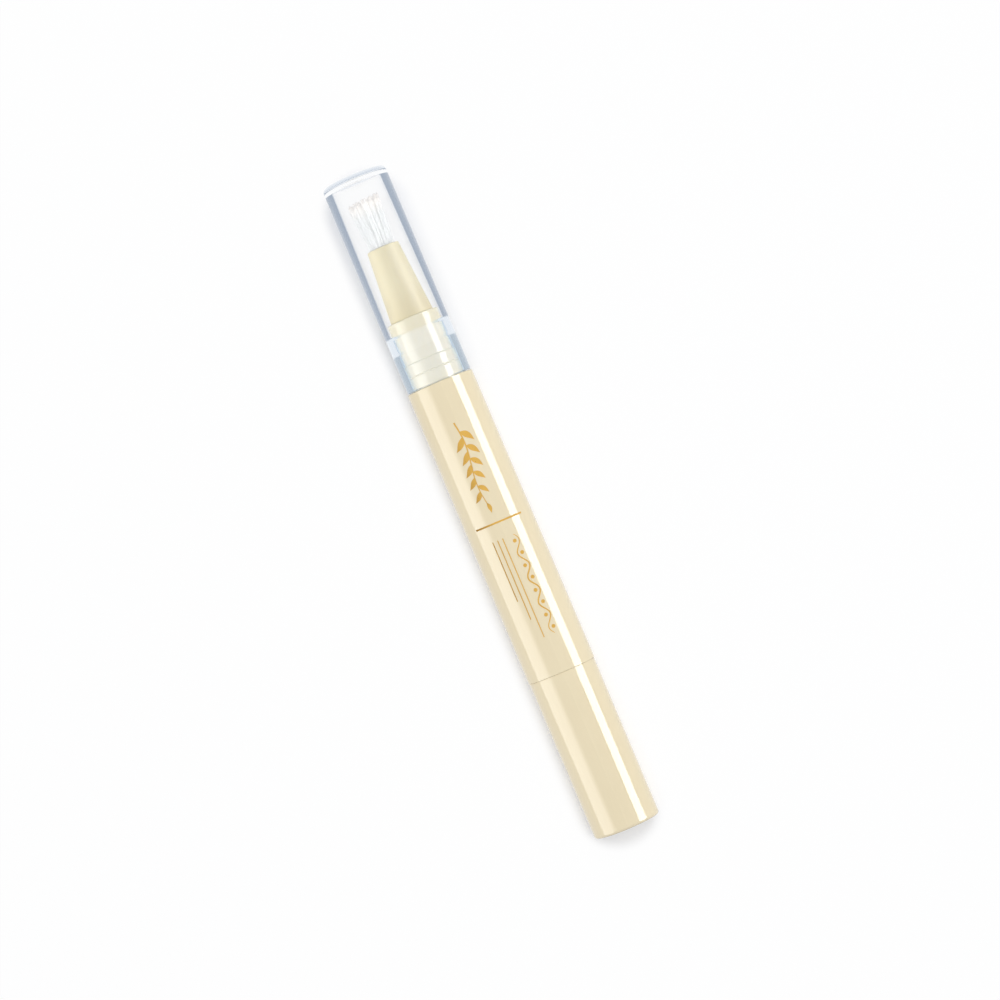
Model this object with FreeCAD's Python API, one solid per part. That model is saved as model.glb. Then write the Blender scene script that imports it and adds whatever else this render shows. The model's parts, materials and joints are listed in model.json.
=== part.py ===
import FreeCAD, Part
import math
import os

# A twist pen for nail oil, lying along X with its brush and cap towards +X.
# Turning the knob drives a flatted screw through a fixed nut, and the screw's
# piston pushes oil along a fine tube into the brush. Sizes are millimetres.
# Stations run along the pen's axis from the flat end of the knob.

# Clearances
static_fit = 0.02
sleeve_fit = 0.05
running_gap = 0.1
axial_gap = 0.3
thread_gap = 0.13
swivel_gap = 0.15
cap_gap = 0.17
cap_bead_gap = 0.05
seam_gap = 0.03
rim_gap = 0.2

# Brush and the tube that feeds it
brush_root_radius = 2.75
brush_tip_radius = 3.6
brush_free_length = 10.7
brush_heel_lip = 0.25
brush_heel_length = 1.2
brush_tip_round = 0.5
feed_tube_radius = 0.75
feed_tube_bore = 0.45
feed_tube_reach = 4.1
retainer_length = 6.0

# Nozzle that holds the brush
nozzle_length = 15.3
nozzle_tip_wall = 0.575
nozzle_tip_round = 0.2
nozzle_seat_width = 0.87
mouth_length = 6.5
spigot_length = 12.6
spigot_wall = 0.63

# Neck between barrel and nozzle
neck_wall = 1.45
neck_ring_height = 0.3
neck_ring_length = 2.8
neck_ring_round = 0.3
neck_waist_length = 6.2
neck_root_length = 5.3
neck_line_offset = 2.7
neck_line_width = 0.4
neck_line_depth = 0.15
neck_flange_length = 1.5
neck_plug_length = 7.4
neck_web_length = 3.0
funnel_radius = 3.0
socket_relief = 0.5
seal_section = 0.98
seal_side_room = 0.32
seal_groove_offset = 2.5

# Barrel and the reservoir inside it
barrel_length = 63.2
barrel_rear_wall = 1.36
barrel_front_wall = 1.18
barrel_rear_round = 0.05
barrel_front_round = 0.15
barrel_lip_depth = 0.35
barrel_lip_length = 1.2
reservoir_wall = 0.8

# Cap
cap_wall = 1.23
cap_headroom = 0.35
cap_draft = 0.5
cap_crown = 1.1
cap_crown_round = 1.0
cap_cavity_round = 0.9
cap_rim_round = 0.2
cap_tip_room = 3.6
cap_bead_length = 2.7
cap_bead_slope = 0.6

# Screw and piston
rod_radius = 2.5
thread_lead = 3.0
thread_depth = 0.6
thread_root_width = 1.5
thread_crest_width = 0.8
rod_flat_margin = 0.05
rod_grip_length = 5.35
rod_shoulder_length = 2.1
rod_neck_radius = 1.4
rod_head_radius = 2.1
rod_head_length = 1.6
piston_length = 8.1
piston_standoff = 5.6
piston_end_gap = 0.3
piston_lip_length = 1.2
piston_lip_height = 0.11
piston_entry_length = 2.2
piston_dish = 0.8

# Nut, ratchet and drive tube
nut_plug_length = 16.0
nut_tail_length = 15.95
nut_tail_step = 0.1
nut_web_length = 6.0
nut_bead_length = 1.0
nut_bead_height = 0.3
nut_bead_offset = 8.0
nut_rib_count = 4
nut_rib_width = 1.2
nut_rib_height = 0.4
nut_rib_length = 8.0
ratchet_teeth = 12
ratchet_tooth_height = 0.35
ratchet_ring_wall = 0.33
ratchet_ring_length = 3.4
ratchet_seat_recess = 0.6
ratchet_seat_wall = 0.45
pawl_hub_wall = 0.38
pawl_arms = 2
pawl_arm_sweep = 100.0
pawl_arm_root_sweep = 14.0
pawl_tip_sweep = 14.0
pawl_leaf_gap = 0.35
pawl_leaf_thickness = 0.4
pawl_tip_gap = 0.08
drive_tube_wall = 0.5
drive_tube_relief = 0.1
drive_flange_length = 3.0
drive_grip_length = 10.0
drive_key_count = 2
drive_key_width = 1.6
drive_key_height = 0.7

# Knob
knob_length = 34.07
knob_wall = 1.22
knob_taper = 0.05
knob_floor = 1.6
knob_step = 1.0
knob_end_round = 0.6
knob_front_round = 0.05

# Radii, each worked out from the one inside it
mouth_radius = brush_root_radius + sleeve_fit
brush_heel_radius = brush_root_radius + brush_heel_lip
nozzle_bore = brush_heel_radius + sleeve_fit
spigot_radius = nozzle_bore + spigot_wall
socket_radius = spigot_radius + static_fit
neck_waist_radius = socket_radius + neck_wall
neck_ring_radius = neck_waist_radius + neck_ring_height
barrel_lip_radius = neck_ring_radius + sleeve_fit
barrel_bore = barrel_lip_radius + barrel_lip_depth
reservoir_radius = barrel_bore - sleeve_fit
reservoir_bore = reservoir_radius - reservoir_wall
plug_radius = reservoir_bore - static_fit
barrel_rear_radius = barrel_bore + barrel_rear_wall
barrel_front_radius = barrel_bore + barrel_front_wall
cap_bore = neck_ring_radius + cap_gap
cap_radius = cap_bore + cap_wall
cap_bead_radius = neck_ring_radius + cap_bead_gap
cap_bore_over_neck_ring = neck_ring_radius + cap_headroom
cap_bore_at_top = cap_bore_over_neck_ring - cap_draft
nozzle_base_radius = spigot_radius + nozzle_seat_width
nozzle_tip_radius = mouth_radius + nozzle_tip_wall
feed_hole = feed_tube_radius + static_fit
rod_core_radius = rod_radius - thread_depth
rod_flat = rod_core_radius + rod_flat_margin
drive_bore = rod_radius + running_gap
drive_relief_bore = drive_bore + drive_tube_relief
drive_tube_radius = drive_relief_bore + drive_tube_wall
nut_bore = drive_tube_radius + swivel_gap
nut_plug_radius = barrel_bore - static_fit
nut_tail_radius = barrel_bore - nut_tail_step
knob_bore = nut_tail_radius + running_gap
knob_front_radius = knob_bore + knob_wall
knob_end_radius = knob_front_radius - knob_taper
knob_rear_bore = knob_bore - knob_step
nut_bead_radius = nut_tail_radius + nut_bead_height
ratchet_seat_radius = nut_tail_radius - ratchet_seat_wall
ratchet_ring_radius = ratchet_seat_radius - static_fit
ratchet_root_radius = ratchet_ring_radius - ratchet_ring_wall
ratchet_crest_radius = ratchet_root_radius - ratchet_tooth_height
pawl_bore = drive_tube_radius + static_fit
pawl_hub_radius = pawl_bore + pawl_hub_wall
pawl_leaf_outer = ratchet_crest_radius - pawl_leaf_gap
pawl_leaf_inner = pawl_leaf_outer - pawl_leaf_thickness
pawl_tip_radius = ratchet_root_radius - pawl_tip_gap
piston_lip_radius = reservoir_bore - sleeve_fit
piston_radius = piston_lip_radius - piston_lip_height

# Stations, from the knob's end to the cap's top
seam = knob_length
barrel_rear = seam + seam_gap
barrel_front = barrel_rear + barrel_length
nut_tail_rear = barrel_rear - nut_tail_length
nut_front = barrel_rear + nut_plug_length
nut_web_rear = nut_front - nut_web_length
ratchet_rear = nut_tail_rear + ratchet_seat_recess
ratchet_seat_floor = ratchet_rear + ratchet_ring_length
nut_bead_rear = nut_tail_rear + nut_bead_offset
drive_front = nut_web_rear - axial_gap
drive_flange_front = nut_tail_rear - axial_gap
drive_rear = drive_flange_front - drive_flange_length
neck_flange_front = barrel_front - barrel_lip_length
neck_flange_rear = neck_flange_front - neck_flange_length
plug_rear = neck_flange_rear - neck_plug_length
neck_line_rear = barrel_front + neck_line_offset
neck_waist_rear = barrel_front + neck_root_length
neck_ring_rear = neck_waist_rear + neck_waist_length
neck_front = neck_ring_rear + neck_ring_length
spigot_rear = neck_front - spigot_length
socket_floor = spigot_rear - socket_relief
web_rear = socket_floor - neck_web_length
nozzle_front = neck_front + nozzle_length
mouth_rear = nozzle_front - mouth_length
brush_heel_rear = mouth_rear - brush_heel_length
retainer_rear = brush_heel_rear - retainer_length
brush_tip = nozzle_front + brush_free_length
feed_front = nozzle_front + feed_tube_reach
cap_rim = barrel_front + rim_gap
cap_bead_front = neck_ring_rear - axial_gap
cap_bead_rear = cap_bead_front - cap_bead_length
cap_cavity_top = brush_tip + cap_tip_room
total_length = cap_cavity_top + cap_crown
rest_height = max(barrel_rear_radius, barrel_front_radius, knob_front_radius, cap_radius)

# The piston's travel is a whole number of clicks, as many as the barrel and the knob have room for
click_advance = thread_lead / ratchet_teeth
room_ahead = plug_rear - piston_end_gap - piston_length - piston_standoff - nut_front
room_behind = drive_front - rod_grip_length - knob_floor - axial_gap
clicks = math.floor(min(room_ahead, room_behind) / click_advance + 1e-9)
stroke = clicks * click_advance
piston_front = plug_rear - piston_end_gap - stroke
piston_rear = piston_front - piston_length
rod_front = piston_rear - swivel_gap
rod_rear = drive_front - rod_grip_length - stroke
rod_thread_front = rod_front - rod_shoulder_length
rod_head_rear = piston_rear + piston_entry_length + swivel_gap
rod_head_front = rod_head_rear + rod_head_length

along = FreeCAD.Vector(1, 0, 0)


def spot(station, radius, angle=90.0):
    """A point at a station, off the axis by a radius, turned about +X from +Y by an angle in degrees."""
    turn = math.radians(angle)
    across = radius * math.cos(turn)
    up = radius * math.sin(turn)
    return FreeCAD.Vector(station - total_length / 2, across, rest_height + up)


def corner_points(before, here, after, size):
    """A sharp corner as itself, or a rounded one as its arc's start, middle and end."""
    if size <= 0:
        return [here]
    back = before - here
    ahead = after - here
    half = back.getAngle(ahead) / 2
    reach = min(size / math.tan(half), 0.45 * back.Length, 0.45 * ahead.Length)
    radius = reach * math.tan(half)
    back.normalize()
    ahead.normalize()
    middle = back + ahead
    middle.normalize()
    deep = radius / math.sin(half) - radius
    return [here + back * reach, here + middle * deep, here + ahead * reach]


def turned(*corners):
    """Revolve a closed outline of (station, radius) corners. A third number rounds its corner."""
    places = [spot(corner[0], corner[1]) for corner in corners]
    bends = []
    for index, corner in enumerate(corners):
        size = corner[2] if len(corner) > 2 else 0.0
        after = places[(index + 1) % len(places)]
        bends.append(corner_points(places[index - 1], places[index], after, size))
    edges = []
    for index, bend in enumerate(bends):
        if len(bend) == 3:
            edges.append(Part.Arc(*bend).toShape())
        following = bends[(index + 1) % len(bends)]
        edges.append(Part.makeLine(bend[-1], following[0]))
    outline = Part.Face(Part.Wire(edges))
    return outline.revolve(spot(0, 0), along, 360)


def rod_between(rear, front, radius):
    """A plain cylinder on the axis."""
    return Part.makeCylinder(radius, front - rear, spot(rear, 0), along)


def sector(rear, front, inner, outer, angle, sweep):
    """A block of a ring, from an angle and through a sweep, between two stations."""
    middle = angle + sweep / 2
    end = angle + sweep
    edges = [
        Part.Arc(spot(rear, outer, angle), spot(rear, outer, middle), spot(rear, outer, end)).toShape(),
        Part.makeLine(spot(rear, outer, end), spot(rear, inner, end)),
        Part.Arc(spot(rear, inner, end), spot(rear, inner, middle), spot(rear, inner, angle)).toShape(),
        Part.makeLine(spot(rear, inner, angle), spot(rear, outer, angle)),
    ]
    return Part.Face(Part.Wire(edges)).extrude(along * (front - rear))


def prism(rear, front, corners):
    """A prism along the axis from (radius, angle) corners."""
    points = [spot(rear, radius, angle) for radius, angle in corners]
    return Part.Face(Part.makePolygon(points + points[:1])).extrude(along * (front - rear))


def flat_key(rear, front, inner, outer, width, angle):
    """A straight-sided block, as long as its stations and as wide as its width, standing out at an angle."""
    block = Part.makeBox(front - rear, outer - inner, width, FreeCAD.Vector(0, inner, -width / 2))
    block.rotate(FreeCAD.Vector(0, 0, 0), along, angle)
    block.translate(spot(rear, 0))
    return block


def around(count, start=0.0):
    """Angles of a number of copies spaced evenly about the axis."""
    return [start + 360.0 * index / count for index in range(count)]


def thread(start, front, inner, outer, margin):
    """A right-hand trapezoid ridge, wound in half turns at least as far as a station, widened by a margin."""
    half_turn = thread_lead / 2
    root = thread_root_width / 2 + margin
    crest = thread_crest_width / 2 + margin
    corners = [(inner, -root), (outer, -crest), (outer, crest), (inner, root)]
    faces = []
    ends = []
    for index in range(math.ceil((front - start) / half_turn)):
        rails = []
        for radius, shift in corners:
            rail = Part.makeHelix(thread_lead, half_turn, radius).Edges[0]
            rail.rotate(FreeCAD.Vector(0, 0, 0), FreeCAD.Vector(0, 0, 1), 180.0 * index)
            rail.translate(FreeCAD.Vector(0, 0, index * half_turn + shift))
            rails.append(rail)
        for rail, neighbour in zip(rails, rails[1:] + rails[:1]):
            faces.append(Part.makeRuledSurface(rail, neighbour))
        ends.append([rail.valueAt(rail.FirstParameter) for rail in rails])
        ends.append([rail.valueAt(rail.LastParameter) for rail in rails])
    for points in (ends[0], ends[-1]):
        faces.append(Part.Face(Part.makePolygon(points + points[:1])))
    shell = Part.Shell(faces)
    shell.sewShape()
    ridge = Part.Solid(shell)
    ridge.rotate(FreeCAD.Vector(0, 0, 0), FreeCAD.Vector(0, 1, 0), 90)
    ridge.translate(spot(start, 0))
    return ridge


def double_d(rear, front, radius, flat):
    """A rod with two flats, one above the axis and one below."""
    slab = Part.makeBox(front - rear, 2 * radius, 2 * flat, spot(rear, 0) - FreeCAD.Vector(0, radius, flat))
    return rod_between(rear, front, radius).common(slab)


def make_barrel():
    """Tapered outer sleeve: an inward lip in front, slots for the nut's ribs behind."""
    sleeve = turned(
        (barrel_rear, barrel_bore),
        (barrel_rear, barrel_rear_radius, barrel_rear_round),
        (barrel_front, barrel_front_radius, barrel_front_round),
        (barrel_front, barrel_lip_radius),
        (neck_flange_front, barrel_lip_radius),
        (neck_flange_front, barrel_bore),
    )
    top = nut_plug_radius + nut_rib_height + sleeve_fit
    width = nut_rib_width + 2 * sleeve_fit
    end = barrel_rear + nut_rib_length + sleeve_fit
    for angle in around(nut_rib_count):
        sleeve = sleeve.cut(flat_key(barrel_rear - seam_gap, end, reservoir_bore, top, width, angle))
    return sleeve


def make_reservoir():
    """Thin inner tube for the oil, held between the nut and the neck's flange."""
    return turned(
        (nut_front, reservoir_bore),
        (nut_front, reservoir_radius),
        (neck_flange_rear, reservoir_radius),
        (neck_flange_rear, reservoir_bore),
    )


def make_neck():
    """Collar: a plug with a seal groove, a root with a fine line, a waist for the cap's bead, a ring in front."""
    groove_rear = plug_rear + seal_groove_offset
    groove_front = groove_rear + seal_section + seal_side_room
    groove = reservoir_bore - seal_section - static_fit
    flange = barrel_bore - sleeve_fit
    return turned(
        (plug_rear, funnel_radius),
        (plug_rear, plug_radius),
        (groove_rear, plug_radius),
        (groove_rear, groove),
        (groove_front, groove),
        (groove_front, plug_radius),
        (neck_flange_rear, plug_radius),
        (neck_flange_rear, flange),
        (neck_flange_front, flange),
        (neck_flange_front, neck_ring_radius),
        (neck_line_rear, neck_ring_radius),
        (neck_line_rear + neck_line_width / 2, neck_ring_radius - neck_line_depth),
        (neck_line_rear + neck_line_width, neck_ring_radius),
        (neck_waist_rear, neck_ring_radius, neck_ring_round),
        (neck_waist_rear + neck_ring_height, neck_waist_radius),
        (neck_ring_rear, neck_waist_radius),
        (neck_ring_rear, neck_ring_radius, neck_ring_round / 2),
        (neck_front, neck_ring_radius, neck_ring_round),
        (neck_front, socket_radius),
        (socket_floor, socket_radius),
        (socket_floor, feed_hole),
        (web_rear, feed_hole),
    )


def make_neck_seal():
    """O-ring that fills the groove in the neck's plug."""
    middle = plug_rear + seal_groove_offset + (seal_section + seal_side_room) / 2
    ring = reservoir_bore - seal_section / 2 - static_fit / 2
    return Part.makeTorus(ring, seal_section / 2, spot(middle, 0), along)


def make_nozzle():
    """Satin cone with a spigot in the neck, bored for the retainer and the brush."""
    return turned(
        (spigot_rear, nozzle_bore),
        (spigot_rear, spigot_radius),
        (neck_front, spigot_radius),
        (neck_front, nozzle_base_radius, nozzle_tip_round),
        (nozzle_front, nozzle_tip_radius, nozzle_tip_round),
        (nozzle_front, mouth_radius),
        (mouth_rear, mouth_radius),
        (mouth_rear, nozzle_bore),
    )


def make_brush_tuft():
    """Filaments as one soft form: a heel behind the mouth, then a gentle flare to the cut tip."""
    hole_end = feed_front + axial_gap
    return turned(
        (brush_heel_rear, feed_hole),
        (brush_heel_rear, brush_heel_radius),
        (mouth_rear, brush_heel_radius),
        (mouth_rear, brush_root_radius),
        (nozzle_front, brush_root_radius),
        (brush_tip, brush_tip_radius, brush_tip_round),
        (brush_tip, 0),
        (hole_end, 0),
        (hole_end, feed_hole),
    )


def make_brush_retainer():
    """Ring pressed into the nozzle behind the brush's heel, bored for the feed tube."""
    return turned(
        (retainer_rear, feed_hole),
        (retainer_rear, nozzle_bore - static_fit),
        (brush_heel_rear, nozzle_bore - static_fit),
        (brush_heel_rear, feed_hole),
    )


def make_feed_tube():
    """Fine tube from the neck's funnel into the middle of the brush."""
    return turned(
        (web_rear, feed_tube_bore),
        (web_rear, feed_tube_radius),
        (feed_front, feed_tube_radius),
        (feed_front, feed_tube_bore),
    )


def make_cap():
    """Clear cap: an inner bead behind the neck's ring, and a bore that narrows to a rounded crown."""
    return turned(
        (cap_rim, cap_bore, cap_rim_round),
        (cap_rim, cap_radius, cap_rim_round),
        (total_length, cap_radius, cap_crown_round),
        (total_length, 0),
        (cap_cavity_top, 0),
        (cap_cavity_top, cap_bore_at_top, cap_cavity_round),
        (cap_bead_front, cap_bore_over_neck_ring),
        (cap_bead_front, cap_bead_radius),
        (cap_bead_rear + cap_bead_slope, cap_bead_radius),
        (cap_bead_rear, cap_bore),
    )


def make_screw_rod():
    """Threaded rod with two flats, then a shoulder, a neck and a head that swivels in the piston."""
    core = turned(
        (rod_rear, 0),
        (rod_rear, rod_core_radius),
        (rod_thread_front, rod_core_radius),
        (rod_thread_front, rod_radius),
        (rod_front, rod_radius),
        (rod_front, rod_neck_radius),
        (rod_head_rear, rod_neck_radius),
        (rod_head_rear, rod_head_radius),
        (rod_head_front, rod_neck_radius),
        (rod_head_front, 0),
    )
    sunk = rod_core_radius - thread_depth / 2
    start = rod_rear + thread_root_width
    ridge = thread(start, rod_thread_front, sunk, rod_radius, 0.0)
    flats = double_d(rod_rear, rod_thread_front, rod_radius + running_gap, rod_flat)
    return core.fuse(ridge.common(flats)).removeSplitter()


def make_thread_nut():
    """Sleeve fixed in the barrel: a threaded web in front, a tail behind that carries the knob."""
    sleeve = turned(
        (nut_tail_rear, ratchet_seat_radius),
        (nut_tail_rear, nut_tail_radius),
        (nut_bead_rear, nut_tail_radius),
        (nut_bead_rear + nut_bead_height, nut_bead_radius),
        (nut_bead_rear + nut_bead_length, nut_bead_radius),
        (nut_bead_rear + nut_bead_length, nut_tail_radius),
        (barrel_rear, nut_tail_radius),
        (barrel_rear, nut_plug_radius),
        (nut_front, nut_plug_radius),
        (nut_front, rod_core_radius + thread_gap),
        (nut_web_rear, rod_core_radius + thread_gap),
        (nut_web_rear, nut_bore),
        (ratchet_seat_floor, nut_bore),
        (ratchet_seat_floor, ratchet_seat_radius),
    )
    for angle in around(nut_rib_count):
        top = nut_plug_radius + nut_rib_height
        end = barrel_rear + nut_rib_length
        sleeve = sleeve.fuse(flat_key(barrel_rear, end, reservoir_bore, top, nut_rib_width, angle))
    rod_start = rod_rear + thread_root_width
    turns_behind = math.floor((nut_web_rear - thread_lead - rod_start) / thread_lead)
    groove_start = rod_start + turns_behind * thread_lead
    sunk = rod_core_radius - thread_depth / 2
    groove = thread(groove_start, nut_front + thread_lead, sunk, rod_radius + thread_gap, thread_gap)
    return sleeve.removeSplitter().cut(groove)


def make_ratchet_ring():
    """Ring of saw teeth that let the pawl pass one way. Each ramp ends at a step."""
    pitch = 360.0 / ratchet_teeth
    teeth = []
    for angle in around(ratchet_teeth):
        teeth += [(ratchet_root_radius, angle), (ratchet_crest_radius, angle + pitch)]
    ring = rod_between(ratchet_rear, ratchet_seat_floor, ratchet_ring_radius)
    return ring.cut(prism(ratchet_rear, ratchet_seat_floor, teeth))


def make_click_pawl():
    """Hub on the drive tube with spring arms that trail, each tip resting against a tooth's step."""
    rear = ratchet_rear
    front = ratchet_seat_floor - axial_gap
    pawl = rod_between(rear, front, pawl_hub_radius)
    pitch = 360.0 / ratchet_teeth
    backing = pawl_hub_radius - pawl_hub_wall / 2
    root_angle = pawl_arm_sweep - pawl_arm_root_sweep
    tooth_lag = math.degrees(pawl_tip_gap / ratchet_root_radius)
    for place in around(pawl_arms):
        angle = pitch * round(place / pitch) + tooth_lag
        leaf = sector(rear, front, pawl_leaf_inner, pawl_leaf_outer, angle, pawl_arm_sweep)
        root = sector(rear, front, backing, pawl_leaf_outer, angle + root_angle, pawl_arm_root_sweep)
        middle = (pawl_leaf_inner + pawl_leaf_outer) / 2
        tip = [(middle, angle), (pawl_tip_radius, angle), (middle, angle + pawl_tip_sweep)]
        pawl = pawl.fuse([leaf, root, prism(rear, front, tip)])
    return pawl.cut(rod_between(rear, front, pawl_bore)).removeSplitter()


def make_drive_tube():
    """Tube whose double-D bore turns the rod, with a notched flange keyed in the knob."""
    flange_radius = knob_bore - sleeve_fit
    tube = turned(
        (drive_rear, drive_relief_bore),
        (drive_rear, flange_radius),
        (drive_flange_front, flange_radius),
        (drive_flange_front, drive_tube_radius),
        (drive_front, drive_tube_radius),
        (drive_front, drive_bore),
        (drive_front - drive_grip_length, drive_bore),
        (drive_front - drive_grip_length, drive_relief_bore),
    )
    grip = drive_front - drive_grip_length
    land = rod_between(grip, drive_front, drive_bore + drive_tube_wall / 2)
    land = land.cut(double_d(grip, drive_front, drive_bore, rod_flat + running_gap))
    tube = tube.fuse(land).removeSplitter()
    foot = knob_bore - drive_key_height - sleeve_fit
    width = drive_key_width + 2 * sleeve_fit
    for angle in around(drive_key_count, 90.0):
        tube = tube.cut(flat_key(drive_rear, drive_flange_front, foot, knob_front_radius, width, angle))
    return tube


def make_piston():
    """Plug with a lip at each end and a stepped socket for the rod's head."""
    chamber_rear = piston_rear + piston_entry_length
    chamber_front = rod_head_front + swivel_gap
    chamber = rod_head_radius + swivel_gap
    entry = rod_neck_radius + swivel_gap
    return turned(
        (piston_rear, entry),
        (piston_rear, piston_lip_radius),
        (piston_rear + piston_lip_length, piston_lip_radius),
        (piston_rear + piston_lip_length + piston_lip_height, piston_radius),
        (piston_front - piston_lip_length - piston_lip_height, piston_radius),
        (piston_front - piston_lip_length, piston_lip_radius),
        (piston_front, piston_lip_radius),
        (piston_front - piston_dish, entry),
        (piston_front - piston_dish, 0),
        (chamber_front, 0),
        (chamber_front, chamber),
        (chamber_rear, chamber),
        (chamber_rear, entry),
    )


def make_knob():
    """Turning end: a closed sleeve with a step and keys for the drive tube and a groove for the nut's bead."""
    groove = nut_bead_radius + running_gap
    groove_rear = nut_bead_rear - axial_gap
    groove_front = nut_bead_rear + nut_bead_length + axial_gap
    sleeve = turned(
        (0, 0),
        (0, knob_end_radius, knob_end_round),
        (seam, knob_front_radius, knob_front_round),
        (seam, knob_bore),
        (groove_front, knob_bore),
        (groove_front, groove),
        (groove_rear, groove),
        (groove_rear, knob_bore),
        (drive_rear, knob_bore),
        (drive_rear, knob_rear_bore),
        (knob_floor, knob_rear_bore),
        (knob_floor, 0),
    )
    foot = knob_bore - drive_key_height
    top = knob_bore + knob_wall / 3
    for angle in around(drive_key_count, 90.0):
        sleeve = sleeve.fuse(flat_key(drive_rear, drive_flange_front, foot, top, drive_key_width, angle))
    return sleeve.removeSplitter()


pieces = {
    "barrel": make_barrel,
    "reservoir": make_reservoir,
    "neck": make_neck,
    "neck_seal": make_neck_seal,
    "nozzle": make_nozzle,
    "brush_tuft": make_brush_tuft,
    "brush_retainer": make_brush_retainer,
    "feed_tube": make_feed_tube,
    "cap": make_cap,
    "piston": make_piston,
    "screw_rod": make_screw_rod,
    "thread_nut": make_thread_nut,
    "ratchet_ring": make_ratchet_ring,
    "click_pawl": make_click_pawl,
    "drive_tube": make_drive_tube,
    "knob": make_knob,
}

os.makedirs("parts", exist_ok=True)
print(f"length {total_length:.2f}, rest height {rest_height:.2f}, {clicks} clicks, stroke {stroke:.2f}")
for name, make in pieces.items():
    shape = make()
    if len(shape.Solids) != 1 or not shape.isValid():
        raise ValueError(f"{name} is not one valid solid")
    shape.Solids[0].exportStep(f"parts/{name}.step")
    print(f"{name}: {shape.Volume:.1f} mm3")
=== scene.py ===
"""A nail oil pen seen from straight above: cream sleeve and knob, clear cap, neck, nozzle and nylon brush."""

import json
import logging
import math
import random
from abc import ABC, abstractmethod
from dataclasses import dataclass, field
from enum import Enum, IntEnum

import bmesh
import bpy
from mathutils import Matrix, Vector

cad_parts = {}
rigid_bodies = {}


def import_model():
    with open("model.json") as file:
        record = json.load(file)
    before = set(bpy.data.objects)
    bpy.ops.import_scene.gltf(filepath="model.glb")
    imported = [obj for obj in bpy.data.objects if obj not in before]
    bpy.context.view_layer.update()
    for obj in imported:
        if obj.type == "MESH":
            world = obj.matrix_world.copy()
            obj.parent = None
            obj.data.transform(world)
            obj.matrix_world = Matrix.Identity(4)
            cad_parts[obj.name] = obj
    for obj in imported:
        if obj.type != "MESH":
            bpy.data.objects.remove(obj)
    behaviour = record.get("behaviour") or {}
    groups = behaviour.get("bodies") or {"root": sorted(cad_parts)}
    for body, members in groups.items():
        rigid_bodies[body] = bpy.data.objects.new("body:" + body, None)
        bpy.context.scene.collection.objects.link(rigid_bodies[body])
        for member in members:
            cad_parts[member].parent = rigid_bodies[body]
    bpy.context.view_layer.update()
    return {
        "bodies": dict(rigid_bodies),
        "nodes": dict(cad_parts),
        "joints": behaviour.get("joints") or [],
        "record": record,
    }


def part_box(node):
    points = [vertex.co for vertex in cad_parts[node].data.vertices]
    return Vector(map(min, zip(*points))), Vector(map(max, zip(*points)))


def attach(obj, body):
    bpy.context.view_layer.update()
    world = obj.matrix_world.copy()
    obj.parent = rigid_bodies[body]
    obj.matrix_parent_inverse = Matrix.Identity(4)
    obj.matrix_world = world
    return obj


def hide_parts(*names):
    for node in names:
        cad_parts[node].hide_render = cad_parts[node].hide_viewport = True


LOG = logging.getLogger("nail_oil_pen")
MM = 0.001
WHITE = "#FFFFFF"
SHARP_ANGLE = math.radians(40)
GOLDEN_ANGLE = math.pi * (3 - math.sqrt(5))
RGBA = tuple[float, float, float, float]
Span = tuple[float, float]
Face = tuple[int, ...]
Material = bpy.types.Material
Node = bpy.types.Node
Piece = bpy.types.Object
Socket = bpy.types.NodeSocket
Tree = bpy.types.NodeTree


class Body(Enum):
    """The moving bodies that carry the pieces made here."""

    BARREL = "barrel"
    CAP = "cap"


class Polish(Enum):
    """How the mould was finished: the roughness that its skin gives the plastic, from and to."""

    MIRROR = (0.055, 0.085)
    TOOLED = (0.11, 0.15)
    SATIN = (0.36, 0.44)
    SPARKED = (0.48, 0.56)


class Seen(Enum):
    """Which rays a studio light reaches."""

    SHADING = "shading"
    GLOSS = "gloss"


class Skin(IntEnum):
    """The parts of the clear cap's skin, in the order of its materials."""

    OUTSIDE = 0
    BORE = 1
    CROWN = 2
    OVER_BEAD = 3
    COLLAR = 4
    ROUND_NECK = 5


def linear(code: str) -> RGBA:
    """Turns an sRGB hex colour into linear light.

    Args:
        code: six hex digits after a hash sign.

    Returns:
        Red, green, blue and an alpha of 1.
    """
    parts = [int(code[i : i + 2], 16) / 255 for i in (1, 3, 5)]
    light = [p / 12.92 if p <= 0.04045 else ((p + 0.055) / 1.055) ** 2.4 for p in parts]
    return (light[0], light[1], light[2], 1.0)


def per_metre(size_mm: float) -> float:
    """The texture scale that makes one feature of a pattern this many millimetres wide."""
    return 1.0 / (size_mm * MM)


def add_node(tree: Tree, kind: str, inputs: dict | None = None, **settings: object) -> Node:
    """Adds one node to a tree, with its settings and what feeds it.

    Args:
        tree: the material's or the world's node tree.
        kind: the shader node's type.
        inputs: what each input gets, by its name or place: a value, a hex colour, a socket, or a node, whose
            first output in use feeds it.
        settings: the node's own properties.

    Returns:
        The new node.
    """
    node = tree.nodes.new("ShaderNode" + kind)
    for name, value in settings.items():
        setattr(node, name, value)
    for key, value in (inputs or {}).items():
        if isinstance(value, str):
            value = linear(value)
        if isinstance(value, Node):
            value = next(out for out in value.outputs if out.enabled)
        if isinstance(value, Socket):
            tree.links.new(value, node.inputs[key])
        else:
            node.inputs[key].default_value = value
    return node


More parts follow.
